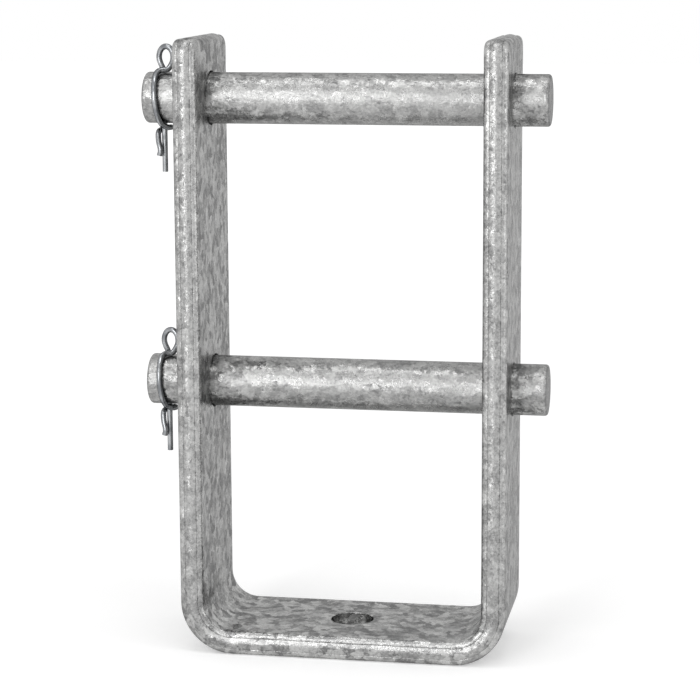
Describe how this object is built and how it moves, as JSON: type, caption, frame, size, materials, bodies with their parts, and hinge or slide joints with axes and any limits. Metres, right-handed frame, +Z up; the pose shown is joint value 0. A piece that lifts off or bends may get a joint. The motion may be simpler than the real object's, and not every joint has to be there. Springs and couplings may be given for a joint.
{
  "type": "ladder stabilizer bracket",
  "caption": "U-shaped flat-bar bracket with a bolt hole in its base, round cross pins through both legs and a locking spring-wire clip on each pin.",
  "frame": {"origin": "centre of the bounding box at its bottom, on the underside of the bracket's base", "axes": "+Z up along the bracket's legs, +X along the cross pins towards their plain ends, +Y along the flat bar's width, away from the clips' curved legs"},
  "size_m": [0.1504, 0.05, 0.229],
  "materials": {
    "bracket_steel": "hot-dip galvanised, mottled",
    "pin_steel": "hot-dip galvanised, mottled",
    "clip_wire": "bright zinc-plated spring wire"
  },
  "bodies": {
    "bracket_body": {"bracket": "bracket_steel"},
    "upper_pin_body": {"upper_pin": "pin_steel"},
    "lower_pin_body": {"lower_pin": "pin_steel"},
    "upper_clip_body": {"upper_clip": "clip_wire"},
    "lower_clip_body": {"lower_clip": "clip_wire"}
  },
  "joints": [
    {"name": "upper_pin_draw", "type": "slide", "parent": "bracket_body", "child": "upper_pin_body", "axis": [-1, 0, 0], "range_m": [-0.002, 0.135]},
    {"name": "lower_pin_draw", "type": "slide", "parent": "bracket_body", "child": "lower_pin_body", "axis": [-1, 0, 0], "range_m": [-0.002, 0.135]},
    {"name": "upper_clip_pull", "type": "slide", "parent": "upper_pin_body", "child": "upper_clip_body", "axis": [0, 0, 1], "range_m": [0, 0.038], "deforming": ["upper_clip"]},
    {"name": "lower_clip_pull", "type": "slide", "parent": "lower_pin_body", "child": "lower_clip_body", "axis": [0, 0, 1], "range_m": [0, 0.038], "deforming": ["lower_clip"]}
  ]
}
